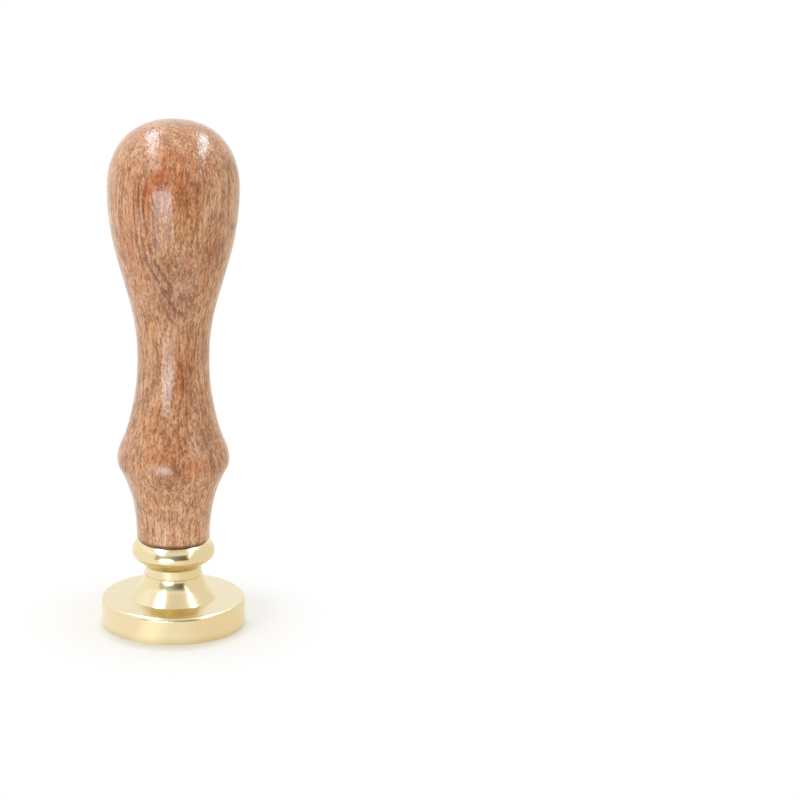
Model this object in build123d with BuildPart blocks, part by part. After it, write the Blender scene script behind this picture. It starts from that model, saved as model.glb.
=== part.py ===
from build123d import *
import os

# Wax seal stamp standing on its die: a turned wooden handle, a steel stud glued into it, and a turned brass head
# that screws onto the stud. The stamp's axis is +Z and the die face lies on Z = 0. Sizes are in millimetres.

overall_height = 89.0

# Brass head: each rise counts from the level below it, starting at the top of the die
die_diameter = 25.0
die_thickness = 4.8
die_rim_round = 0.5
die_face_break = 0.25
cone_foot_diameter = 15.3
cone_rise = 3.3
neck_diameter = 9.74
neck_fillet = 1.85
neck_rise = 1.2
bead_diameter = 14.36
bead_rise = 3.8
seat_diameter = 11.0
seat_rise = 2.2

# Wooden handle: each rise counts from the level below it, starting at the seat on the head
handle_end_diameter = 12.66
handle_end_round = 0.9
swell_diameter = 19.32
swell_rise = 14.5
waist_diameter = 12.35
waist_rise = 17.5
knob_diameter = 22.42
knob_rise = 30.0

# Steel stud and the holes that it sits in
stud_diameter = 7.0
stud_reach = 7.5
stud_lead = 0.6
screw_diameter = 6.0
screw_length = 20.0
screw_point = 4.0
thread_clearance = 0.05
glue_line = 0.05
hole_relief = 1.5
hole_lead = 0.4

# Engraving in the die face: a rosette of pointed petals inside a border of dimples
engraving_depth = 0.9
border_margin = 2.6
dimple_count = 24
dimple_diameter = 1.2
dimple_depth = 0.5
petal_count = 8
petal_gap = 1.5
petal_width = 2.5
petal_draft = 15.0
hub_diameter = 3.6
hub_gap = 0.5

# Courses of the turned curves: the points that each passes, as shares of its way outwards and of its way upwards
cove_course = [(0.736, 0.686)]
flare_course = [(0.816, 0.862)]
taper_course = [(0.301, 0.216), (0.777, 0.56)]
flank_course = [(0.028, 0.139)]
crown_course = [(0.2, 0.658)]

# Levels along the axis
cone_top_level = die_thickness + cone_rise
neck_level = cone_top_level + neck_rise
bead_level = neck_level + bead_rise
seat_level = bead_level + seat_rise
swell_level = seat_level + swell_rise
waist_level = swell_level + waist_rise
knob_level = waist_level + knob_rise

# Radii that several features share
die_radius = die_diameter / 2
neck_radius = neck_diameter / 2
bead_radius = bead_diameter / 2
knob_radius = knob_diameter / 2
stud_radius = stud_diameter / 2
screw_radius = screw_diameter / 2
socket_radius = stud_radius + thread_clearance
bore_radius = screw_radius + glue_line
border_radius = die_radius - border_margin
petal_tip_radius = border_radius - dimple_diameter / 2 - petal_gap
petal_root_radius = hub_diameter / 2 + hub_gap

upright = (0, 1)
inward = (-1, 0)


def turned_curve(start, end, course, end_direction=upright):
    """A smooth lathe curve that leaves start upright and passes the course's shares of the way to end."""
    way = Vector(end) - Vector(start)
    passed = [Vector(start) + Vector(way.X * outwards, way.Y * upwards) for outwards, upwards in course]
    return Spline(start, *passed, end, tangents=[upright, end_direction])


# One petal of the rosette, along +X
with BuildSketch() as petal:
    with BuildLine():
        petal_middle = (petal_root_radius + petal_tip_radius) / 2
        ThreePointArc((petal_root_radius, 0), (petal_middle, -petal_width / 2), (petal_tip_radius, 0))
        ThreePointArc((petal_tip_radius, 0), (petal_middle, petal_width / 2), (petal_root_radius, 0))
    make_face()

# Brass head: die, cone, neck and bead turned in one piece, with a socket for the stud
with BuildPart() as brass_head:
    with BuildSketch(Plane.XZ):
        with BuildLine():
            face = Line((0, 0), (die_radius - die_face_break, 0))
            face_edge = Line(face @ 1, (die_radius, die_face_break))
            wall = Line(face_edge @ 1, (die_radius, die_thickness - die_rim_round))
            rim = JernArc(wall @ 1, upright, die_rim_round, 90)
            shelf = Line(rim @ 1, (cone_foot_diameter / 2, die_thickness))
            cone_top = (neck_radius, cone_top_level)
            neck = FilletPolyline(shelf @ 1, cone_top, (neck_radius, neck_level), radius=neck_fillet)
            cove = turned_curve(neck @ 1, (bead_radius, bead_level), cove_course)
            bead = TangentArc(cove @ 1, (seat_diameter / 2, seat_level), tangent=upright)
            seat = Line(bead @ 1, (0, seat_level))
            Line(seat @ 1, face @ 0)
        make_face()
    revolve(axis=Axis.Z)
    with Locations((0, 0, seat_level)):
        CounterSinkHole(socket_radius, socket_radius + hole_lead, stud_reach + hole_relief, 90)
    with BuildSketch(Plane.XY):
        Circle(hub_diameter / 2)
        with PolarLocations(0, petal_count):
            add(petal.sketch)
    extrude(amount=engraving_depth, taper=petal_draft, mode=Mode.SUBTRACT)
    with Locations(Plane((0, 0, 0), z_dir=(0, 0, -1))):
        with PolarLocations(border_radius, dimple_count):
            Hole(dimple_diameter / 2, dimple_depth)
brass_head.part.label = "brass_head"

# Steel stud: a machine thread below its shoulder and a pointed wood screw above, both drawn at their outer size
with BuildPart() as threaded_stud:
    with BuildSketch(Plane.XZ):
        with BuildLine():
            Polyline(
                (0, seat_level - stud_reach),
                (stud_radius - stud_lead, seat_level - stud_reach),
                (stud_radius, seat_level - stud_reach + stud_lead),
                (stud_radius, seat_level),
                (screw_radius, seat_level),
                (screw_radius, seat_level + screw_length - screw_point),
                (0, seat_level + screw_length),
                close=True,
            )
        make_face()
    revolve(axis=Axis.Z)
threaded_stud.part.label = "threaded_stud"

# Wooden handle: flares from its end to the swelling, tapers to the waist and widens to the domed knob
with BuildPart() as wooden_handle:
    with BuildSketch(Plane.XZ):
        with BuildLine():
            end_radius = handle_end_diameter / 2
            end_face = Line((0, seat_level), (end_radius - handle_end_round, seat_level))
            end_edge = JernArc(end_face @ 1, (1, 0), handle_end_round, 90)
            flare = turned_curve(end_edge @ 1, (swell_diameter / 2, swell_level), flare_course)
            taper = turned_curve(flare @ 1, (waist_diameter / 2, waist_level), taper_course)
            flank = turned_curve(taper @ 1, (knob_radius, knob_level), flank_course)
            crown = turned_curve(flank @ 1, (0, overall_height), crown_course, inward)
            Line(crown @ 1, end_face @ 0)
        make_face()
    revolve(axis=Axis.Z)
    with Locations(Plane((0, 0, seat_level), z_dir=(0, 0, -1))):
        Hole(bore_radius, screw_length + hole_relief)
wooden_handle.part.label = "wooden_handle"

os.makedirs("parts", exist_ok=True)
export_step(brass_head.part, "parts/brass_head.step")
export_step(threaded_stud.part, "parts/threaded_stud.step")
export_step(wooden_handle.part, "parts/wooden_handle.step")
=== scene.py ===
import math

import bmesh
import bpy
import numpy as np
from mathutils import Matrix, Vector


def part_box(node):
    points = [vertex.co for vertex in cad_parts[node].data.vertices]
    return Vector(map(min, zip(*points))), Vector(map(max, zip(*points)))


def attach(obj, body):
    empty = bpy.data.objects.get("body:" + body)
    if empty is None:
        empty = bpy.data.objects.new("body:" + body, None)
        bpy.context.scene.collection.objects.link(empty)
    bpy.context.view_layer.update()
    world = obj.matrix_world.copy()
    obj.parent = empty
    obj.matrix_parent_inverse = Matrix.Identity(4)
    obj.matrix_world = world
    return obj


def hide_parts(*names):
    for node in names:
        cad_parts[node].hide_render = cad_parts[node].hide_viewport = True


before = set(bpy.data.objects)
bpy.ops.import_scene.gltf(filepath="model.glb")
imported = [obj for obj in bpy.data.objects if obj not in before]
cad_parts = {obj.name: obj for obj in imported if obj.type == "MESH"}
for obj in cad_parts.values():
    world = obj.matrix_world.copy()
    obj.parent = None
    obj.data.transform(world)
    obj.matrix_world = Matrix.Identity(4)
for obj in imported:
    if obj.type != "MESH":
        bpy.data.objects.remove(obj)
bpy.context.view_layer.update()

# Wax seal stamp: a lacquered wooden handle, a steel stud and a polished brass head, in metres.
MM = 0.001
SEGMENTS = 288
STUD_SEGMENTS = 144
CREASE_ANGLE = math.radians(28)

# Sizes that the frame gives
head_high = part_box("brass_head")[1]
handle_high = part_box("wooden_handle")[1]
stud_low, stud_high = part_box("threaded_stud")
seat_level = head_high.z
die_radius = head_high.x
crown_level = handle_high.z
knob_radius = handle_high.x
stud_radius = stud_high.x
stud_reach = seat_level - stud_low.z
screw_length = stud_high.z - seat_level

# Brass head, from the die face upwards
die_thickness = 4.8 * MM
die_rim_round = 0.65 * MM
die_face_break = 0.25 * MM
cone_foot_radius = 7.65 * MM
cone_bend_radius = 6.0 * MM
cone_bend_level = 6.75 * MM
ledge_radius = 5.12 * MM
ledge_level = 8.93 * MM
ledge_rise = 0.04 * MM
neck_radius = 4.87 * MM
groove_level = 10.66 * MM
groove_fillet = 0.4 * MM
bead_radius = 7.18 * MM
bead_level = 13.1 * MM
seat_radius = 5.95 * MM
bead_under_radius = 1.49 * MM
bead_under_turn = math.radians(53.8)

# Engraving in the die face: a rosette of pointed petals inside a border of dimples
engraving_depth = 0.9 * MM
border_margin = 2.6 * MM
border_radius = die_radius - border_margin
dimple_count = 24
dimple_radius = 0.6 * MM
dimple_depth = 0.5 * MM
petal_count = 8
petal_root = 2.3 * MM
petal_tip = 7.8 * MM
petal_width = 2.5 * MM
hub_radius = 1.8 * MM
petal_draft = math.radians(15)
wall_slope = 1 / math.tan(petal_draft)

# Threads: the machine thread below the seat and the wood screw above it
thread_pitch = 1.0 * MM
thread_depth = 0.56 * MM
thread_clearance = 0.05 * MM
thread_neck = 0.2 * MM
flank_steepness = 2.4
hole_relief = 1.5 * MM
socket_depth = stud_reach + hole_relief
socket_lead = 0.4 * MM
stud_lead = 0.6 * MM
screw_radius = 3.0 * MM
screw_point = 4.0 * MM
screw_pitch = 2.4 * MM
screw_neck = 1.0 * MM
screw_thread_depth = 0.8 * MM
deepest_cut_share = 0.6
bore_radius = 3.05 * MM
bore_depth = screw_length + hole_relief

# Wooden handle, from the seat upwards
handle_end_radius = 6.33 * MM
handle_end_round = 0.5 * MM
swell_radius = 9.66 * MM
swell_rise = 14.5 * MM
waist_radius = 6.175 * MM
waist_rise = 17.5 * MM
knob_rise = 30.0 * MM
swell_level = seat_level + swell_rise
waist_level = swell_level + waist_rise
knob_level = waist_level + knob_rise

# Courses of the turned curves: the points that each passes, as shares of its way outwards and upwards
flare_course = [(0.816, 0.862)]
taper_course = [(0.301, 0.216), (0.777, 0.56)]
flank_course = [(0.028, 0.139)]
crown_course = [(0.2, 0.658)]

UPRIGHT = (0.0, 1.0)
INWARD = (-1.0, 0.0)
OUTWARD = (1.0, 0.0)


# Outlines: rows of (radius, height) points


def straight(start, end, count):
    """Points from start to end in equal steps."""
    return np.linspace(start, end, count + 1)


def arc(start, direction, end, count):
    """Points on the circle that leaves start along direction and reaches end."""
    start, end = np.array(start, float), np.array(end, float)
    direction = np.array(direction, float)
    side = np.array([-direction[1], direction[0]])
    chord = end - start
    radius = chord @ chord / (2 * chord @ side)
    centre = start + side * radius
    turn = 2 * math.atan2(chord @ side, chord @ direction)
    steps = np.linspace(0, turn, count + 1)[:, None]
    return centre + radius * (np.sin(steps) * direction - np.cos(steps) * side)


def end_speed(points, places, at):
    """How fast the parabola through three points runs at a place."""
    velocity = np.zeros(2)
    for i in range(3):
        others = [places[j] for j in range(3) if j != i]
        weight = sum(at - place for place in others) / np.prod([places[i] - place for place in others])
        velocity += weight * points[i]
    return np.abs(velocity).sum()


def turned_curve(start, end, course, end_direction=UPRIGHT, count=24):
    """Points on a smooth lathe curve from start to end, with count steps between the points of its course.

    It leaves start upright, passes the course's shares of the way and arrives along end_direction.
    """
    start, end = np.array(start, float), np.array(end, float)
    knots = np.array([start, *[start + (end - start) * share for share in course], end])
    steps = np.linalg.norm(np.diff(knots, axis=0), axis=1)
    places = np.concatenate([[0.0], np.cumsum(steps)])
    last = len(knots) - 1
    system = np.zeros((last + 1, last + 1))
    known = np.zeros((last + 1, 2))
    system[0, 0] = system[last, last] = 1.0
    known[0] = np.array(UPRIGHT) * end_speed(knots[:3], places[:3], places[0])
    known[last] = np.array(end_direction) * end_speed(knots[:3], places[:3], places[last])
    for i in range(1, last):
        before, after = steps[i - 1], steps[i]
        system[i, i - 1 : i + 2] = [1 / before, 2 / before + 2 / after, 1 / after]
        known[i] = 3 * ((knots[i] - knots[i - 1]) / before**2 + (knots[i + 1] - knots[i]) / after**2)
    slopes = np.linalg.solve(system, known)
    points = [knots[:1]]
    for i in range(last):
        s = np.linspace(0, 1, count + 1)[1:, None]
        blend = s * s * (3 - 2 * s)
        lift = steps[i] * (s * (1 - s) ** 2 * slopes[i] - s * s * (1 - s) * slopes[i + 1])
        points.append(knots[i] + (knots[i + 1] - knots[i]) * blend + lift)
    return np.vstack(points)


def joined(*stretches):
    """One outline from stretches that each start where the last one ended."""
    return np.vstack([stretches[0], *[stretch[1:] for stretch in stretches[1:]]])


def filleted(start, corner, end, radius):
    """Points on a bent line whose corner is rounded to that radius."""
    start, corner, end = [np.array(point, float) for point in (start, corner, end)]
    into = (corner - start) / np.linalg.norm(corner - start)
    onwards = (end - corner) / np.linalg.norm(end - corner)
    reach = radius * math.tan(math.acos(into @ onwards) / 2)
    bend_start = corner - into * reach
    bend_end = corner + onwards * reach
    return joined(
        straight(start, bend_start, count=8),
        arc(bend_start, into, bend_end, count=14),
        straight(bend_end, end, count=3),
    )


# Meshes


def ring_grid(outline, segments=SEGMENTS):
    """Radii and heights of an outline's rings, as arrays of rings by segments."""
    ones = np.ones(segments)
    return np.outer(outline[:, 0], ones), np.outer(outline[:, 1], ones)


def ring_angles(segments=SEGMENTS):
    """Angles of a ring's points about the axis."""
    return np.arange(segments) * (2 * math.pi / segments)


def turned_piece(name, radii, heights):
    """A closed mesh of rings about Z whose first and last rings are points on the axis."""
    rings, segments = radii.shape
    angles = ring_angles(segments)
    x = radii * np.cos(angles)
    y = radii * np.sin(angles)
    inner = np.stack([x, y, heights], axis=2)[1:-1].reshape(-1, 3)
    vertices = np.vstack([[[0, 0, heights[0, 0]]], inner, [[0, 0, heights[-1, 0]]]])
    last_vertex = len(vertices) - 1
    last_ring = 1 + (rings - 3) * segments
    faces = []
    for j in range(segments):
        k = (j + 1) % segments
        faces.append((0, 1 + k, 1 + j))
        faces.append((last_vertex, last_ring + j, last_ring + k))
        for i in range(rings - 3):
            low = 1 + i * segments
            high = low + segments
            faces.append((low + j, low + k, high + k, high + j))
    mesh = bpy.data.meshes.new(name)
    mesh.from_pydata(vertices.tolist(), [], faces)
    shell = bmesh.new()
    shell.from_mesh(mesh)
    bmesh.ops.recalc_face_normals(shell, faces=shell.faces)
    shell.to_mesh(mesh)
    shell.free()
    mesh.shade_smooth()
    mesh.set_sharp_from_angle(angle=CREASE_ANGLE)
    piece = bpy.data.objects.new(name, mesh)
    bpy.context.scene.collection.objects.link(piece)
    return piece


def thread_wave(height, angle, pitch):
    """Height of a right-hand thread above its root, from 0 to 1, with flat crests and roots."""
    turn = (height / pitch - angle / (2 * math.pi)) % 1.0
    flank = flank_steepness * (np.abs(turn - 0.5) - 0.25) + 0.5
    return np.clip(flank, 0.0, 1.0)


def eased(low, high, value):
    """A smooth step from 0 at low to 1 at high."""
    share = np.clip((value - low) / (high - low), 0.0, 1.0)
    return share * share * (3 - 2 * share)


def turn_in_sector(angles, count):
    """Angles from the middle of the nearest of as many equal sectors."""
    sector_angle = 2 * math.pi / count
    return (angles + sector_angle / 2) % sector_angle - sector_angle / 2


def petal_inset(radii, angles):
    """How far a point lies inside the nearest petal, which is the lens between two equal circles."""
    local = turn_in_sector(angles, petal_count)
    half_length = (petal_tip - petal_root) / 2
    half_width = petal_width / 2
    circle_radius = (half_length**2 + half_width**2) / (2 * half_width)
    offset = circle_radius - half_width
    along = radii * np.cos(local) - (petal_root + petal_tip) / 2
    across = np.abs(radii * np.sin(local)) + offset
    return circle_radius - np.hypot(along, across)


def dimple_sinking(radii, angles):
    """Depth of the bowl-shaped dimples of the border."""
    local = turn_in_sector(angles, dimple_count)
    distance = np.hypot(radii * np.cos(local) - border_radius, radii * np.sin(local))
    return dimple_depth * np.sqrt(np.clip(1 - (distance / dimple_radius) ** 2, 0, 1))


def engraving(radii, angles):
    """Depth of the engraving at each point of the die face."""
    inset = np.maximum(petal_inset(radii, angles), hub_radius - radii)
    carved = np.clip(inset * wall_slope, 0, engraving_depth)
    return np.maximum(carved, dimple_sinking(radii, angles))


def brass_head():
    """Die, cone, neck and bead, with the engraved face below and the threaded socket above."""
    face_end = (die_radius - die_face_break, 0)
    wall_foot = (die_radius, die_face_break)
    wall_top = (die_radius, die_thickness - die_rim_round)
    rim_end = (die_radius - die_rim_round, die_thickness)
    cone_foot = (cone_foot_radius, die_thickness)
    cone_bend = (cone_bend_radius, cone_bend_level)
    uphill = np.subtract(cone_bend, cone_foot)
    uphill = uphill / np.linalg.norm(uphill)
    ledge = (ledge_radius, ledge_level)
    neck_foot = (neck_radius, ledge_level + ledge_rise)
    groove = (neck_radius, groove_level)
    under_start = (
        bead_radius - bead_under_radius * (1 - math.cos(bead_under_turn)),
        bead_level - bead_under_radius * math.sin(bead_under_turn),
    )
    under_direction = (math.sin(bead_under_turn), math.cos(bead_under_turn))
    bead = (bead_radius, bead_level)
    seat = (seat_radius, seat_level)
    socket_radius = stud_radius + thread_clearance
    mouth = (socket_radius + socket_lead, seat_level)
    socket_top = (socket_radius, seat_level - socket_lead)
    socket_floor = (socket_radius, seat_level - socket_depth)
    face = straight((0, 0), face_end, count=135)
    outside = joined(
        face,
        straight(face_end, wall_foot, count=2),
        straight(wall_foot, wall_top, count=6),
        arc(wall_top, UPRIGHT, rim_end, count=14),
        straight(rim_end, cone_foot, count=4),
        straight(cone_foot, cone_bend, count=4),
        arc(cone_bend, uphill, ledge, count=18),
        straight(ledge, neck_foot, count=2),
        filleted(neck_foot, groove, under_start, groove_fillet),
        arc(under_start, under_direction, bead, count=16),
        arc(bead, UPRIGHT, seat, count=16),
        straight(seat, mouth, count=3),
        straight(mouth, socket_top, count=2),
    )
    socket = straight(socket_top, socket_floor, count=90)
    outline = joined(outside, socket, straight(socket_floor, (0, socket_floor[1]), count=4))
    radii, heights = ring_grid(outline)
    angles = ring_angles()
    face_rings = slice(0, len(face))
    heights[face_rings] += engraving(radii[face_rings], angles)
    socket_rings = slice(len(outside), len(outside) + len(socket) - 1)
    depth = seat_level - heights[socket_rings]
    run_in = eased(socket_lead, socket_lead + thread_pitch, depth)
    run_out = 1 - eased(socket_depth - thread_pitch, socket_depth, depth)
    ridge = 1 - thread_wave(heights[socket_rings], angles, thread_pitch)
    radii[socket_rings] -= thread_depth * ridge * run_in * run_out
    return turned_piece("seal_head", radii, heights)


def steel_stud():
    """Double-ended stud with a machine thread below its shoulder and a pointed wood screw above."""
    end = seat_level - stud_reach
    end_edge = (stud_radius - stud_lead, end)
    lead_top = (stud_radius, end + stud_lead)
    shoulder = (stud_radius, seat_level)
    screw_foot = (screw_radius, seat_level)
    point_start = (screw_radius, seat_level + screw_length - screw_point)
    outline = joined(
        straight((0, end), end_edge, count=3),
        straight(end_edge, lead_top, count=4),
        straight(lead_top, shoulder, count=110),
        straight(shoulder, screw_foot, count=2),
        straight(screw_foot, point_start, count=130),
        straight(point_start, (0, seat_level + screw_length), count=30),
    )
    radii, heights = ring_grid(outline, STUD_SEGMENTS)
    angles = ring_angles(STUD_SEGMENTS)
    above = heights - seat_level
    below = -above
    machine_root = thread_depth * (1 - thread_wave(heights, angles, thread_pitch))
    machine_cut = machine_root * eased(thread_neck, thread_pitch, below)
    screw_root = screw_thread_depth * (1 - thread_wave(heights, angles, screw_pitch) ** 2)
    screw_cut = screw_root * eased(screw_neck, screw_neck + screw_pitch, above)
    cut = np.where(below > 0, machine_cut, screw_cut)
    radii -= np.minimum(cut, deepest_cut_share * radii)
    return turned_piece("hanger_stud", radii, heights)


def wooden_handle():
    """Turned handle with its blind bore: flare, swelling, taper, waist and domed knob."""
    bore_end = (bore_radius, seat_level + bore_depth)
    bore_mouth = (bore_radius, seat_level)
    end_face = (handle_end_radius - handle_end_round, seat_level)
    flare_start = (handle_end_radius, seat_level + handle_end_round)
    swell = (swell_radius, swell_level)
    waist = (waist_radius, waist_level)
    knob = (knob_radius, knob_level)
    outline = joined(
        straight((0, bore_end[1]), bore_end, count=3),
        straight(bore_end, bore_mouth, count=12),
        straight(bore_mouth, end_face, count=3),
        arc(end_face, OUTWARD, flare_start, count=10),
        turned_curve(flare_start, swell, flare_course),
        turned_curve(swell, waist, taper_course, count=20),
        turned_curve(waist, knob, flank_course, count=28),
        turned_curve(knob, (0, crown_level), crown_course, INWARD, count=28),
    )
    return turned_piece("turned_handle", *ring_grid(outline))


# Materials


class Nodes:
    """A material's or world's node tree, filled node by node."""

    def __init__(self, owner):
        owner.use_nodes = True
        self.tree = owner.node_tree
        self.tree.nodes.clear()

    def add(self, kind, settings=None, **inputs):
        """A node of that kind with its settings; inputs are values, or sockets to link."""
        made = self.tree.nodes.new(kind)
        for key, value in (settings or {}).items():
            setattr(made, key, value)
        for key, value in inputs.items():
            self.feed(made.inputs[key.replace("_", " ")], value)
        return made

    def feed(self, socket, value):
        """Links a socket to another one, or sets its value."""
        if isinstance(value, bpy.types.NodeSocket):
            self.tree.links.new(value, socket)
        else:
            socket.default_value = value

    def place(self):
        """Where a point lies on its object."""
        return self.add("ShaderNodeTexCoord").outputs["Object"]

    def parts(self, vector):
        """A vector's X, Y and Z, by name."""
        return self.add("ShaderNodeSeparateXYZ", Vector=vector).outputs

    def maths(self, operation, first, second=0.0):
        """One operation on two values."""
        made = self.add("ShaderNodeMath", {"operation": operation})
        self.feed(made.inputs[0], first)
        self.feed(made.inputs[1], second)
        return made.outputs[0]

    def product(self, first, *others):
        """Values multiplied together."""
        for other in others:
            first = self.maths("MULTIPLY", first, other)
        return first

    def between(self, low, high, share):
        """A value that goes from low to high as share goes from 0 to 1."""
        return self.maths("ADD", low, self.product(share, high - low))

    def vector(self, operation, first, second=(0, 0, 0), output="Vector"):
        """One operation on two vectors, whose result is a vector or a value."""
        made = self.add("ShaderNodeVectorMath", {"operation": operation})
        self.feed(made.inputs[0], first)
        self.feed(made.inputs[1], second)
        return made.outputs[output]

    def mix(self, factor, first, second, blend="MIX"):
        """Two colours mixed by a factor."""
        made = self.add("ShaderNodeMix", {"data_type": "RGBA", "blend_type": blend})
        self.feed(made.inputs[0], factor)
        self.feed(made.inputs[6], first)
        self.feed(made.inputs[7], second)
        return made.outputs[2]

    def ramp(self, value, low, high):
        """Value spread smoothly from 0 at low to 1 at high."""
        settings = {"interpolation_type": "SMOOTHSTEP"}
        made = self.add("ShaderNodeMapRange", settings, Value=value, From_Min=low, From_Max=high)
        return made.outputs["Result"]

    def noise(self, place, scale, along=1.0, offset=(0, 0, 0), detail=2.0, distortion=0.0):
        """Noise of about 1 / scale metres, drawn out along Z where along is small."""
        moved = self.add("ShaderNodeMapping", Vector=place, Location=offset, Scale=(1, 1, along))
        made = self.add(
            "ShaderNodeTexNoise",
            Vector=moved.outputs[0],
            Scale=scale,
            Detail=detail,
            Distortion=distortion,
        )
        return made.outputs["Fac"]

    def shaders(self, factor, first, second):
        """Two shaders mixed by a factor."""
        made = self.add("ShaderNodeMixShader", Fac=factor)
        self.feed(made.inputs[1], first.outputs[0])
        self.feed(made.inputs[2], second.outputs[0])
        return made


def new_material(name):
    """A new material and its empty node tree."""
    material = bpy.data.materials.new(name)
    return material, Nodes(material)


def linear(red, green, blue):
    """Scene colour of an sRGB colour given from 0 to 255."""
    def channel(value):
        value /= 255
        return value / 12.92 if value <= 0.04045 else ((value + 0.055) / 1.055) ** 2.4
    return (channel(red), channel(green), channel(blue), 1.0)


# Noises of the wood
FIGURE = {"scale": 110, "along": 0.35, "offset": (0.013, 0.004, 0.0), "detail": 3.0, "distortion": 0.6}
CURL = {"scale": 420, "along": 0.8, "offset": (0.0, 0.02, 0.0), "distortion": 0.8}
FIBRES = {"scale": 1900, "along": 0.09, "offset": (0.0, 0.0, 0.01), "distortion": 0.3}
FLECKS = {"scale": 4000, "along": 0.40, "offset": (0.0, 0.05, 0.03), "distortion": 0.4}
PORES = {"scale": 2600, "along": 0.20, "offset": (0.03, 0.0, 0.0), "detail": 1.0, "distortion": 0.3}
STREAKS = {"scale": 800, "along": 0.12, "offset": (0.01, 0.02, 0.0), "distortion": 0.4}
HUE = {"scale": 520, "along": 0.35, "offset": (0.02, 0.0, 0.05), "distortion": 0.5}
RIPPLE = {"scale": 2200, "along": 0.6, "offset": (0.01, 0.0, 0.02)}
WARP = {"scale": 200, "along": 0.5, "offset": (0.02, 0.01, 0.03), "detail": 3.0}
BREAKS = {"scale": 1500, "along": 0.3, "offset": (0.0, 0.04, 0.01)}

# The wood's tone: how much each noise counts, and the range that goes from dark to light
TONE_WEIGHTS = [(FIGURE, 0.7), (CURL, 0.6), (FIBRES, 1.2), (FLECKS, 1.3)]
TONE_RANGE = (0.05, 0.95)
DARK_WOOD = linear(157, 102, 66)
LIGHT_WOOD = linear(230, 182, 143)
LATE_WOOD = linear(112, 63, 38)
PORE_WOOD = linear(120, 67, 40)
# Painted shade for the crease at the handle's lower end
CREASE_SHADE_WOOD = linear(92, 54, 30)

# Tints that the wood's colour is multiplied by
HUE_TINT = (0.98, 0.90, 0.78, 1.0)
STREAK_TINT = (1.0, 0.80, 0.66, 1.0)
RED_TINT = (0.93, 0.67, 0.49, 1.0)
GREY_TINT = (0.80, 0.79, 0.86, 1.0)
PALE_TINT = (1.18, 1.30, 1.42, 1.0)

# Ranges over which noises turn into streaks, hues, pores and breaks, and how strongly these show
STREAK_RANGE = (0.42, 0.58)
HUE_RANGE = (0.40, 0.62)
PORE_RANGE = (0.56, 0.70)
BREAK_RANGE = (0.34, 0.56)
STREAK_STRENGTH = 0.45
PORE_STRENGTH = 0.60
LATE_STRENGTH = 0.85

# Growth layers: nearly flat sheets across their normal; each darkens and ends in shares of its depth
LAYER_NORMAL = (0.30, -0.954, 0.0)
LAYER_SPACING = 0.75 * MM
LAYER_SWAY = 1.2 * MM
LATE_RISE = (0.40, 0.90)
LATE_FALL = (1.0, 0.91)

# Where the layers show most: by their distance from the middle, and by level and side on the knob
DARK_LAYERS = 7.5 * MM
DARK_LAYERS_FADE = (1.5 * MM, 0.4 * MM)
LAYERS_END = (10 * MM, 8 * MM)
KNOB_TOP_FADE = (84 * MM, 78 * MM)
KNOB_FOOT_FADE = (46 * MM, 58 * MM)
LEFT_SIDE_FADE = (3 * MM, -2 * MM)
OTHER_LAYERS_SHARE = 0.25
RIGHT_SIDE_SHARE = 0.35
OFF_KNOB_SHARE = 0.12

# Eyes in the grain: centre and reach in millimetres, and the fade of their outline as a share of the reach
GRAIN_EYES = [
    ((10.2, -4.6, 77.5), (1.9, 1.9, 5.8)),
    ((-9.0, 5.5, 70.0), (2.2, 2.2, 7.0)),
]
EYE_LINE_FADE = (0.22, 0.04)
EYE_STRENGTH = 0.8

# Patches that tint the wood: centre and reach in millimetres, and how strongly each one shows
RED_PATCHES = [
    ((-1, -10.0, 80), (10, 7, 9), 1.0),
    ((-4.5, -10, 78.5), (2.5, 3, 4), 0.6),
    ((2.5, -10.3, 80), (3, 3, 3), 0.5),
    ((-7.5, -7, 70), (3, 4, 8), 0.7),
    ((-1.5, -9.0, 34), (6, 5, 7), 0.8),
    ((4.5, -8.6, 31), (3, 3, 3), 0.9),
    ((1.8, -6.0, 46), (1.6, 3, 12), 0.9),
    ((6.5, -7.5, 66), (3, 3, 9), 0.6),
    ((9, 3, 76), (5, 8, 9), 0.7),
    ((-2, 10, 74), (7, 5, 10), 0.7),
    ((-8, 3, 33), (5, 6, 6), 0.7),
    ((3, 7, 38), (4, 5, 9), 0.7),
]
GREY_PATCHES = [
    ((0.5, -8.5, 62), (8, 6, 11), 0.9),
    ((-3, 8.5, 58), (8, 6, 10), 0.7),
    ((8, 4, 52), (4, 5, 9), 0.5),
]
# The pale patch makes the handle lighter and less orange towards its lower end
PALE_PATCHES = [((0, 0, 19), (14, 14, 14), 1.0)]
PATCH_FADE = (1.0, 0.15)
RED_BETWEEN_STREAKS = 0.45

# Painted shade in the crease where the handle meets the bead: levels over which the edge of the handle's
# lower end darkens
CREASE_SHADE_FADE = (seat_level + 0.75 * MM, seat_level + 0.3 * MM)
CREASE_SHADE_STRENGTH = 0.75


def patch_distance(nodes, place, centre, reach):
    """How far out of a patch of the wood a point lies: 0 at its centre and 1 at its reach."""
    moved = nodes.vector("SUBTRACT", place, [value * MM for value in centre])
    scaled = nodes.vector("DIVIDE", moved, [value * MM for value in reach])
    return nodes.vector("LENGTH", scaled, output="Value")


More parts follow.
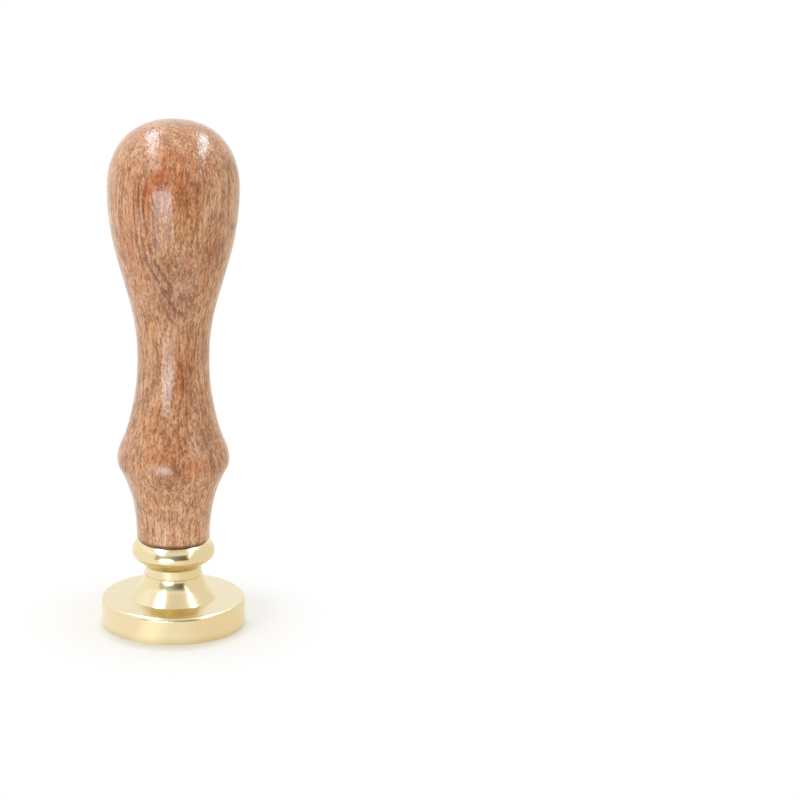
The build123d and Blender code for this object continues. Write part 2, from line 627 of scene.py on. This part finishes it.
def growth_layers(nodes, place):
    """Dark late wood of the growth layers, which show as broken lines.

    The strongest ones meet in a V on the knob, and others close round the eyes.
    """
    across = nodes.vector("DOT_PRODUCT", place, LAYER_NORMAL, "Value")
    warp = nodes.maths("SUBTRACT", nodes.noise(place, **WARP), 0.5)
    depth = nodes.maths("ADD", across, nodes.product(warp, LAYER_SWAY))
    share = nodes.maths("FRACT", nodes.maths("DIVIDE", depth, LAYER_SPACING))
    late = nodes.product(nodes.ramp(share, *LATE_RISE), nodes.ramp(share, *LATE_FALL))
    outwards = nodes.maths("ABSOLUTE", depth)
    off = nodes.maths("ABSOLUTE", nodes.maths("SUBTRACT", outwards, DARK_LAYERS))
    strength = nodes.between(OTHER_LAYERS_SHARE, 1.0, nodes.ramp(off, *DARK_LAYERS_FADE))
    strength = nodes.product(strength, nodes.ramp(outwards, *LAYERS_END))
    parts = nodes.parts(place)
    knob = nodes.product(nodes.ramp(parts["Z"], *KNOB_TOP_FADE), nodes.ramp(parts["Z"], *KNOB_FOOT_FADE))
    side = nodes.between(RIGHT_SIDE_SHARE, 1.0, nodes.ramp(parts["X"], *LEFT_SIDE_FADE))
    shown = nodes.between(OFF_KNOB_SHARE, 1.0, nodes.product(knob, side))
    lines = nodes.product(late, nodes.product(strength, shown))
    for centre, reach in GRAIN_EYES:
        inwards = nodes.maths("SUBTRACT", patch_distance(nodes, place, centre, reach), 1.0)
        rim = nodes.ramp(nodes.maths("ABSOLUTE", inwards), *EYE_LINE_FADE)
        lines = nodes.maths("MAXIMUM", lines, nodes.product(rim, EYE_STRENGTH))
    broken = nodes.ramp(nodes.noise(place, **BREAKS), *BREAK_RANGE)
    return nodes.product(lines, broken)


def lacquered_wood():
    """Orange-brown hardwood with fine flecked grain, under a clear gloss lacquer."""
    material, nodes = new_material("lacquered_wood")
    place = nodes.place()
    tone = 0.5
    for noise, weight in TONE_WEIGHTS:
        swing = nodes.maths("SUBTRACT", nodes.noise(place, **noise), 0.5)
        tone = nodes.maths("ADD", tone, nodes.product(swing, weight))
    colour = nodes.mix(nodes.ramp(tone, *TONE_RANGE), DARK_WOOD, LIGHT_WOOD)
    hue = nodes.ramp(nodes.noise(place, **HUE), *HUE_RANGE)
    colour = nodes.mix(hue, colour, HUE_TINT, "MULTIPLY")
    streaks = nodes.ramp(nodes.noise(place, **STREAKS), *STREAK_RANGE)
    colour = nodes.mix(nodes.product(streaks, STREAK_STRENGTH), colour, STREAK_TINT, "MULTIPLY")
    streaked = nodes.between(RED_BETWEEN_STREAKS, 1.0, streaks)
    for patches, tint, shown in (
        (RED_PATCHES, RED_TINT, streaked),
        (GREY_PATCHES, GREY_TINT, 1.0),
        (PALE_PATCHES, PALE_TINT, 1.0),
    ):
        for centre, reach, strength in patches:
            inside = nodes.ramp(patch_distance(nodes, place, centre, reach), *PATCH_FADE)
            colour = nodes.mix(nodes.product(inside, strength, shown), colour, tint, "MULTIPLY")
    late = nodes.product(growth_layers(nodes, place), LATE_STRENGTH)
    colour = nodes.mix(late, colour, LATE_WOOD)
    pores = nodes.ramp(nodes.noise(place, **PORES), *PORE_RANGE)
    colour = nodes.mix(nodes.product(pores, PORE_STRENGTH), colour, PORE_WOOD)
    # Painted shade: the handle darkens towards its lower edge, in the crease above the bead
    crease_shade = nodes.ramp(nodes.parts(place)["Z"], *CREASE_SHADE_FADE)
    colour = nodes.mix(nodes.product(crease_shade, CREASE_SHADE_STRENGTH), colour, CREASE_SHADE_WOOD)
    ripple = nodes.noise(place, **RIPPLE)
    bump = nodes.add("ShaderNodeBump", Strength=0.55, Distance=0.1 * MM, Height=ripple)
    shader = nodes.add(
        "ShaderNodeBsdfPrincipled",
        Base_Color=colour,
        Roughness=0.45,
        Specular_IOR_Level=0.2,
        Coat_Weight=1.0,
        Coat_Roughness=0.085,
        Normal=bump.outputs[0],
        Coat_Normal=bump.outputs[0],
    )
    nodes.add("ShaderNodeOutputMaterial", Surface=shader.outputs[0])
    return material


# Polished brass: its colours, with a painted shade for the groove under the bead, and the range of the
# cloud noise that tarnishes and dulls it
BRASS = (0.885, 0.755, 0.48, 1.0)
TARNISHED_BRASS = (0.82, 0.69, 0.43, 1.0)
GROOVE_SHADE_BRASS = (0.62, 0.51, 0.25, 1.0)
TARNISH_RANGE = (0.45, 0.75)
TARNISH_STRENGTH = 0.30
WORN_RANGE = (0.30, 0.75)

# Roughness of the brass where it is polished and where it is worn, and what marks and the rim add
POLISHED_ROUGHNESS = 0.05
WORN_ROUGHNESS = 0.12
MARKS_ROUGHNESS = 0.20
RIM_ROUGHNESS = 0.06

# Levels over which the painted shade in the groove under the bead and the die's rounded rim fade in and out
GROOVE_FOOT_FADE = (groove_level - 0.4 * MM, groove_level)
GROOVE_TOP_FADE = (bead_level - 0.8 * MM, bead_level - 1.8 * MM)
RIM_FOOT_FADE = (die_thickness - die_rim_round, die_thickness - 0.5 * die_rim_round)
RIM_TOP_FADE = (die_thickness - 0.01 * MM, die_thickness - 0.05 * MM)
GROOVE_SHADE_STRENGTH = 0.70


def lathe_marks(nodes, place, scale):
    """Noise that is the same all round the axis, as a lathe leaves it."""
    axis = nodes.parts(place)
    flat = nodes.add("ShaderNodeCombineXYZ", X=axis["X"], Y=axis["Y"]).outputs[0]
    radius = nodes.vector("LENGTH", flat, output="Value")
    around = nodes.add("ShaderNodeCombineXYZ", X=radius, Y=axis["Z"]).outputs[0]
    return nodes.noise(around, scale, detail=3.0)


def polished_brass():
    """Polished yellow brass with fine turning marks, faint tarnish and painted shade in the groove under
    the bead.
    """
    material, nodes = new_material("polished_brass")
    place = nodes.place()
    level = nodes.parts(place)["Z"]
    marks = lathe_marks(nodes, place, scale=9000)
    cloud = nodes.noise(place, scale=240, detail=4.0, distortion=0.5)
    tarnish = nodes.product(nodes.ramp(cloud, *TARNISH_RANGE), TARNISH_STRENGTH)
    colour = nodes.mix(tarnish, BRASS, TARNISHED_BRASS)
    # Painted shade: the groove under the bead is darkened to an olive brown
    groove = nodes.product(nodes.ramp(level, *GROOVE_FOOT_FADE), nodes.ramp(level, *GROOVE_TOP_FADE))
    colour = nodes.mix(nodes.product(groove, GROOVE_SHADE_STRENGTH), colour, GROOVE_SHADE_BRASS)
    worn = nodes.between(POLISHED_ROUGHNESS, WORN_ROUGHNESS, nodes.ramp(cloud, *WORN_RANGE))
    rim = nodes.product(nodes.ramp(level, *RIM_FOOT_FADE), nodes.ramp(level, *RIM_TOP_FADE))
    roughness = nodes.maths("ADD", worn, nodes.product(marks, MARKS_ROUGHNESS))
    roughness = nodes.maths("ADD", roughness, nodes.product(rim, RIM_ROUGHNESS))
    bump = nodes.add("ShaderNodeBump", Strength=0.06, Distance=0.04 * MM, Height=marks)
    shader = nodes.add(
        "ShaderNodeBsdfPrincipled",
        Base_Color=colour,
        Metallic=1.0,
        Roughness=roughness,
        Coat_Weight=0.6,
        Coat_Roughness=0.12,
        Normal=bump.outputs[0],
    )
    nodes.add("ShaderNodeOutputMaterial", Surface=shader.outputs[0])
    return material


# Zinc plating: the colours and the roughness that its clouds go between
DARK_ZINC = (0.52, 0.53, 0.55, 1.0)
LIGHT_ZINC = (0.70, 0.70, 0.70, 1.0)
SHINY_ZINC = 0.22
DULL_ZINC = 0.42


def plated_steel():
    """Zinc-plated steel, a little dull and cloudy."""
    material, nodes = new_material("plated_steel")
    cloud = nodes.noise(nodes.place(), scale=700, detail=4.0)
    shader = nodes.add(
        "ShaderNodeBsdfPrincipled",
        Base_Color=nodes.mix(cloud, DARK_ZINC, LIGHT_ZINC),
        Metallic=1.0,
        Roughness=nodes.between(SHINY_ZINC, DULL_ZINC, cloud),
    )
    nodes.add("ShaderNodeOutputMaterial", Surface=shader.outputs[0])
    return material


# The pieces on their bodies


def dress(piece, material, body, node):
    """Gives a piece its material and its body, gives the node it stands for the same material, and hides
    that node.
    """
    piece.data.materials.append(material)
    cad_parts[node].data.materials.clear()
    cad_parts[node].data.materials.append(material)
    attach(piece, body)
    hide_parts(node)


dress(brass_head(), polished_brass(), "head", "brass_head")
dress(steel_stud(), plated_steel(), "handle", "threaded_stud")
dress(wooden_handle(), lacquered_wood(), "handle", "wooden_handle")


# Floor, room and lamps. Turns are in degrees from straight ahead of the stamp, towards the right.

WHITE = (1.0, 1.0, 1.0, 1.0)

# Table top: its paint, the painted contact shadow under the stamp's edge, and its colours in mirrored rays,
# which carry painted light and shade
FLOOR_SIZE = 8.0
FLOOR_LEVEL = -0.02 * MM
FLOOR_PAINT = (0.97, 0.95, 0.89, 1.0)
# Painted contact shadow: a warm darkening round the die's foot, centred a little in front of the die
PAINTED_CONTACT_SHADOW = (0.84, 0.79, 0.69, 1.0)
SHADE_CENTRE = (0.0, -2.5 * MM, 0.0)
SHADE_FADE = (die_radius - 1.8 * MM, die_radius + 1.5 * MM)
SHADOW_FADE = (0.010, 0.030)
PLAIN_IN_SHADOW = 0.35
PLAIN_IN_MIRROR = 0.85
# In mirrored rays only: a warm painted shade to the right, a painted pool of light in the window's sector
# at the front left, and painted gloom further out in front
MIRRORED_FLOOR = (1.0, 0.975, 0.91, 1.0)
WARM_SHADE_FLOOR = (0.90, 0.82, 0.66, 1.0)
WARM_SHADE_FADE = (0.10, 0.60)
PAINTED_LIGHT_FLOOR = (1.24, 1.21, 1.13, 1.0)
PAINTED_GLOOM_FADE = (0.10, 0.22)
TABLE_EDGE_FADE = (0.055, 0.060)

# Room: the light that falls on things, and the colours of its sides, by X and Z of a direction
AMBIENT = (0.50, 0.50, 0.50, 1.0)
WALLS = (0.98, 0.98, 0.97, 1.0)
CEILING = (0.80, 0.745, 0.65, 1.0)
BRIGHT_SIDE = (1.08, 1.10, 1.16, 1.0)
LOW_LEFT = (1.0, 0.98, 0.87, 1.0)
WARM_SIDE = (0.86, 0.82, 0.72, 1.0)
GLOOM = (0.15, 0.12, 0.055, 1.0)
LEFT_FADE = (-0.35, -0.75)
RIGHT_FADE = (0.40, 0.75)
LOW_LEFT_FADE = (0.35, 0.60)
CEILING_FADE = (0.60, 0.90)
GLOOM_TOP_FADE = (0.70, 0.42)

# The gloom in front, by turn: where it lies, where it deepens to the right, and its patch at the left
GLOOM_SECTOR = (-51, 41.5)
GLOOM_SLOPE = (-45, 32)
GLOOM_PATCH = (-34, -46)
LEAST_GLOOM = 0.30
PATCH_GLOOM = 0.75

# Strips on the ceiling: their paths in X and Y, from the near end
LAMP_HEIGHT = 0.28
HALO_HEIGHT = LAMP_HEIGHT + 0.01
LEFT_LAMP = [(-0.27, -0.38), (-0.107, 0.0), (-0.080, 0.16)]
RIGHT_LAMP = [(1.30, -1.45), (0.195, -0.045), (0.130, 0.17)]
LAMP_WEAK = 2.6
COOL_LIGHT = (0.72, 0.90, 1.0, 1.0)
TWICE_MIRRORED = 0.75

# Far window: its turns, its rises in degrees over its level, its strengths, and the sector where its light
# is painted into the floor's mirrored colour
WINDOW_LEFT = -36
WINDOW_RIGHT = -3
WINDOW_DISTANCE = 2.0
WINDOW_LEVEL = 0.05
WINDOW_FOOT = -32
ARCH_FOOT = -10
ARCH_RISE = 14.5
ARCH_POINTS = 13
ARCH_ROUNDNESS = 0.92
LOW_WINDOW_FADE = (-19, -13)
HIGH_WINDOW_FADE = (-2, 4)
WINDOW_WEAK = 3.0
WINDOW_STRONG = 7.5
WINDOW_TOP = 6.5
PAINTED_LIGHT_SECTOR = (WINDOW_LEFT, WINDOW_RIGHT - 10)


def seen_directly(nodes):
    """1 for rays from the camera and for mirrored or passed ones, 0 for the light that falls on things."""
    path = nodes.add("ShaderNodeLightPath")
    seen = nodes.maths("MAXIMUM", path.outputs["Is Camera Ray"], path.outputs["Is Glossy Ray"])
    return nodes.maths("MAXIMUM", seen, path.outputs["Is Transmission Ray"])


def flat_sheet(name, first_edge, second_edge):
    """A stage sheet between two edges, which are rows of as many points."""
    count = len(first_edge)
    faces = [(i, i + 1, count + i + 1, count + i) for i in range(count - 1)]
    mesh = bpy.data.meshes.new(name)
    mesh.from_pydata([*first_edge, *second_edge], [], faces)
    sheet = bpy.data.objects.new(name, mesh)
    bpy.context.scene.collection.objects.link(sheet)
    return sheet


def compass(nodes, outwards):
    """Turn of a direction, in radians."""
    parts = nodes.parts(outwards)
    ahead = nodes.product(parts["Y"], -1.0)
    return nodes.maths("ARCTAN2", parts["X"], ahead)


def turn_ramp(nodes, turn, low, high):
    """Turn spread smoothly from 0 at low to 1 at high, which are in degrees."""
    return nodes.ramp(turn, math.radians(low), math.radians(high))


def sector(nodes, turn, first, last, softness):
    """1 between two turns in degrees, with soft edges."""
    rise = turn_ramp(nodes, turn, first - softness, first + softness)
    fall = turn_ramp(nodes, turn, last + softness, last - softness)
    return nodes.product(rise, fall)


def front_gloom(nodes, turn):
    """How dim the front of the room is: deepest at the right, with a narrow patch at the left."""
    slope = nodes.between(LEAST_GLOOM, 1.0, turn_ramp(nodes, turn, *GLOOM_SLOPE))
    patch = nodes.product(turn_ramp(nodes, turn, *GLOOM_PATCH), PATCH_GLOOM)
    depth = nodes.maths("MAXIMUM", slope, patch)
    return nodes.product(depth, sector(nodes, turn, *GLOOM_SECTOR, softness=3))


def white_floor():
    """A plain white table top that keeps a soft shadow, and a painted contact shadow round the die's foot.

    Mirrored rays see past its edge in front to the window.
    """
    half = FLOOR_SIZE / 2
    front, back = [[(x, y, FLOOR_LEVEL) for x in (-half, half)] for y in (-half, half)]
    floor = flat_sheet("floor", front, back)
    material, nodes = new_material("white_floor")
    place = nodes.place()
    distance = nodes.vector("LENGTH", place, output="Value")
    turn = compass(nodes, place)
    # The floor's mirrored colours hold painted light and shade: warm shade at the right, the window's light
    # at the front left, and gloom further out in front
    mirrored = nodes.add("ShaderNodeLightPath").outputs["Is Glossy Ray"]
    sideways = nodes.maths("DIVIDE", nodes.parts(place)["X"], distance)
    warm_shade = nodes.product(nodes.ramp(sideways, *WARM_SHADE_FADE), mirrored)
    painted_light = nodes.product(sector(nodes, turn, *PAINTED_LIGHT_SECTOR, softness=9), mirrored)
    painted_gloom = nodes.product(front_gloom(nodes, turn), nodes.ramp(distance, *PAINTED_GLOOM_FADE), mirrored)
    tint = nodes.mix(mirrored, WHITE, MIRRORED_FLOOR)
    tint = nodes.mix(warm_shade, tint, WARM_SHADE_FLOOR)
    tint = nodes.mix(painted_light, tint, PAINTED_LIGHT_FLOOR)
    tint = nodes.mix(painted_gloom, tint, GLOOM)
    # Painted contact shadow: the floor's colours darken towards the die's foot
    under = nodes.vector("DISTANCE", place, SHADE_CENTRE, "Value")
    painted_shadow = nodes.mix(nodes.ramp(under, *SHADE_FADE), PAINTED_CONTACT_SHADOW, WHITE)
    tint = nodes.mix(1.0, tint, painted_shadow, "MULTIPLY")
    paint = nodes.mix(1.0, FLOOR_PAINT, painted_shadow, "MULTIPLY")
    diffuse = nodes.add("ShaderNodeBsdfDiffuse", Color=paint)
    glow = nodes.add("ShaderNodeEmission", Color=tint, Strength=1.0)
    plain = nodes.between(PLAIN_IN_SHADOW, 1.0, nodes.ramp(distance, *SHADOW_FADE))
    plain = nodes.maths("MAXIMUM", plain, nodes.product(mirrored, PLAIN_IN_MIRROR))
    table = nodes.shaders(nodes.product(seen_directly(nodes), plain), diffuse, glow)
    past = nodes.product(nodes.ramp(distance, *TABLE_EDGE_FADE), mirrored)
    past = nodes.product(past, sector(nodes, turn, WINDOW_LEFT, WINDOW_RIGHT, softness=0.5))
    opened = nodes.shaders(past, table, nodes.add("ShaderNodeBsdfTransparent"))
    nodes.add("ShaderNodeOutputMaterial", Surface=opened.outputs[0])
    floor.data.materials.append(material)


def white_room():
    """A white surround, as polished metal mirrors it.

    It has a darker ceiling, a bright left side that is warmer low down, a warm right side and a dim front.
    """
    world = bpy.data.worlds.new("white_room")
    bpy.context.scene.world = world
    nodes = Nodes(world)
    direction = nodes.add("ShaderNodeTexCoord").outputs["Generated"]
    parts = nodes.parts(direction)
    left = nodes.mix(nodes.ramp(parts["Z"], *LOW_LEFT_FADE), LOW_LEFT, BRIGHT_SIDE)
    tint = nodes.mix(nodes.ramp(parts["X"], *LEFT_FADE), WALLS, left)
    tint = nodes.mix(nodes.ramp(parts["X"], *RIGHT_FADE), tint, WARM_SIDE)
    tint = nodes.mix(nodes.ramp(parts["Z"], *CEILING_FADE), tint, CEILING)
    gloom = front_gloom(nodes, compass(nodes, direction))
    tint = nodes.mix(nodes.product(gloom, nodes.ramp(parts["Z"], *GLOOM_TOP_FADE)), tint, GLOOM)
    colour = nodes.mix(seen_directly(nodes), AMBIENT, tint)
    background = nodes.add("ShaderNodeBackground", Color=colour, Strength=1.0)
    nodes.add("ShaderNodeOutputWorld", Surface=background.outputs[0])


def mirrored_sheet(name, edges, line, fade, weak, strong):
    """A bright sheet that only reflections show.

    It goes from weak to strong over the fade's range along a line, and is dim where it is mirrored twice.
    """
    sheet = flat_sheet(name, *edges)
    material, nodes = new_material(name)
    along = nodes.vector("DOT_PRODUCT", nodes.place(), line, "Value")
    strength = nodes.between(weak, strong, nodes.ramp(along, *fade))
    depth = nodes.add("ShaderNodeLightPath").outputs["Glossy Depth"]
    strength = nodes.product(strength, nodes.maths("LESS_THAN", depth, 1.5))
    strength = nodes.maths("MAXIMUM", strength, TWICE_MIRRORED)
    glow = nodes.add("ShaderNodeEmission", Color=COOL_LIGHT, Strength=strength)
    nodes.add("ShaderNodeOutputMaterial", Surface=glow.outputs[0])
    sheet.data.materials.append(material)
    sheet.visible_camera = False
    sheet.visible_diffuse = False
    sheet.visible_shadow = False


def ceiling_strip(name, path, width, halo_width, fade, strong):
    """A long lamp over the stamp, weak at its near end, with a dim halo round its near half."""
    for part, course, height, reach, level in (
        ("core", path, LAMP_HEIGHT, width / 2, strong),
        ("halo", path[:2], HALO_HEIGHT, halo_width / 2, LAMP_WEAK),
    ):
        edges = [[(x + side, y, height) for x, y in course] for side in (-reach, reach)]
        mirrored_sheet(f"{name}_{part}", edges, (0, 1, 0), fade, LAMP_WEAK, level)


def window_height(rise):
    """Height of a point of the window that rises so many degrees over its level."""
    return WINDOW_LEVEL + WINDOW_DISTANCE * math.tan(math.radians(rise))


def window_point(turn, rise):
    """A point of the window by its turn and its rise."""
    angle = math.radians(turn)
    return (math.sin(angle) * WINDOW_DISTANCE, -math.cos(angle) * WINDOW_DISTANCE, window_height(rise))


def front_window():
    """A far window with an arched top at the front left, weaker in its lower part."""
    turns = np.linspace(WINDOW_LEFT, WINDOW_RIGHT, ARCH_POINTS)
    arch = np.sqrt(1 - ARCH_ROUNDNESS * np.linspace(-1, 1, ARCH_POINTS) ** 2)
    low = [window_point(turn, WINDOW_FOOT) for turn in turns]
    middle = [window_point(turn, ARCH_FOOT) for turn in turns]
    high = [window_point(turn, ARCH_FOOT + ARCH_RISE * share) for turn, share in zip(turns, arch)]
    for name, edges, fade, weak, strong in (
        ("window_low", (low, middle), LOW_WINDOW_FADE, WINDOW_WEAK, WINDOW_STRONG),
        ("window_high", (middle, high), HIGH_WINDOW_FADE, WINDOW_STRONG, WINDOW_TOP),
    ):
        heights = [window_height(rise) for rise in fade]
        mirrored_sheet(name, edges, (0, 0, 1), heights, weak, strong)


def soft_lamp(name, place, target, size, level):
    """A square lamp that lights a white surface at its target to that level, and that nothing mirrors."""
    place = Vector(place)
    ray = Vector(target) - place
    lamp = bpy.data.lights.new(name, "AREA")
    lamp.size = size
    lamp.energy = level * math.pi**2 * ray.length_squared
    holder = bpy.data.objects.new(name, lamp)
    holder.matrix_world = Matrix.Translation(place) @ ray.to_track_quat("-Z", "Y").to_matrix().to_4x4()
    holder.visible_camera = False
    holder.visible_glossy = False
    bpy.context.scene.collection.objects.link(holder)


# The photograph's frame is square. The stamp's axis stands at AXIS_COLUMN, and AIM_LEVEL shows at AIM_ROW.
FRAME_PIXELS = 800
AXIS_COLUMN = 173.4
AIM_ROW = 373.3
AIM_LEVEL = 45 * MM
FOCAL_PIXELS = 3014
CAMERA_DISTANCE = 500 * MM
CAMERA_HEIGHT = 182 * MM
SENSOR_WIDTH = 36.0
CLIP_START = 10 * MM


def photo_camera():
    """Camera in front of the stamp, turned so that the stamp stands upright and left of the middle."""
    pitch = math.atan2(CAMERA_HEIGHT - AIM_LEVEL, CAMERA_DISTANCE)
    across = Vector((1, 0, 0))
    ahead = Vector((0, math.cos(pitch), -math.sin(pitch)))
    above = across.cross(ahead)
    right_share = (FRAME_PIXELS / 2 - AXIS_COLUMN) / FOCAL_PIXELS
    down_share = (FRAME_PIXELS / 2 - AIM_ROW) / FOCAL_PIXELS
    gaze = (ahead + across * right_share - above * down_share).normalized()
    up = across.cross(gaze).normalized()
    right = gaze.cross(up)
    data = bpy.data.cameras.new("photo_camera")
    data.sensor_width = SENSOR_WIDTH
    data.lens = FOCAL_PIXELS / FRAME_PIXELS * SENSOR_WIDTH
    data.clip_start = CLIP_START
    camera = bpy.data.objects.new("photo_camera", data)
    turn = Matrix((right, up, -gaze)).transposed().to_4x4()
    camera.matrix_world = Matrix.Translation((0, -CAMERA_DISTANCE, CAMERA_HEIGHT)) @ turn
    bpy.context.scene.collection.objects.link(camera)
    bpy.context.scene.camera = camera


white_floor()
white_room()
ceiling_strip("overhead_left", LEFT_LAMP, width=0.065, halo_width=0.135, fade=(-0.14, -0.07), strong=9.0)
ceiling_strip("overhead_right", RIGHT_LAMP, width=0.060, halo_width=0.080, fade=(-0.10, -0.03), strong=12.0)
front_window()
soft_lamp("key_lamp", place=(-0.35, -0.25, 0.35), target=(0, 0, 0.04), size=0.30, level=0.35)
soft_lamp("fill_lamp", place=(0.40, -0.30, 0.20), target=(0, 0, 0.04), size=0.30, level=0.14)
soft_lamp("top_lamp", place=(0.0, 0.05, 0.60), target=(0, 0, 0), size=0.40, level=0.35)
photo_camera()

bpy.context.scene.view_settings.view_transform = "Standard"
